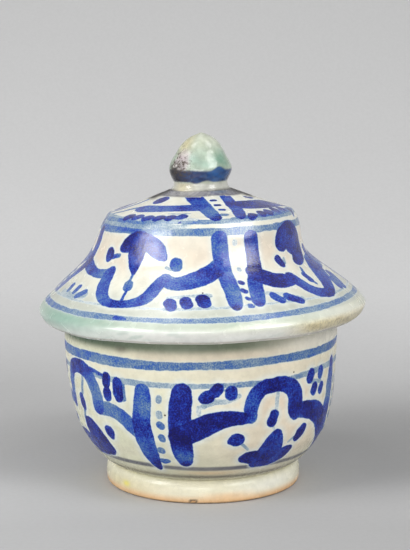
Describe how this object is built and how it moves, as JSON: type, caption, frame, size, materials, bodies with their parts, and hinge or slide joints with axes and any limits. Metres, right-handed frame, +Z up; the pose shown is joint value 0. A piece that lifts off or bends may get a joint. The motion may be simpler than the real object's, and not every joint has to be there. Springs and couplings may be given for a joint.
{
  "type": "butter pot",
  "caption": "Covered round pot for butter: a glazed bowl on a foot ring, under a bell-shaped lid with a wide rolled brim that lifts off by a pointed knob.",
  "frame": {"origin": "centre of the foot ring's resting face", "axes": "+Z up along the turning axis, -Y towards the viewer of the picture"},
  "size_m": [0.14, 0.14, 0.15],
  "materials": {
    "foot_glaze": "worn cream tin glaze over pinkish biscuit",
    "bowl_glaze": "glossy cream tin glaze with cobalt brushwork",
    "lid_glaze": "glossy cream tin glaze with cobalt brushwork and a pale green brim",
    "bare_biscuit": "unglazed biscuit, thinly washed with glaze",
    "knob_glaze": "glossy tin glaze with copper green runs"
  },
  "bodies": {
    "pot": {"bowl": "bowl_glaze", "foot_ring": "foot_glaze"},
    "lid": {"lid_dome": "lid_glaze", "lid_collar": "bare_biscuit", "knob": "knob_glaze"}
  },
  "joints": [
    {"name": "lid_lift", "type": "slide", "parent": "pot", "child": "lid", "axis": [0, 0, 1], "range_m": [0, 0.1]}
  ]
}
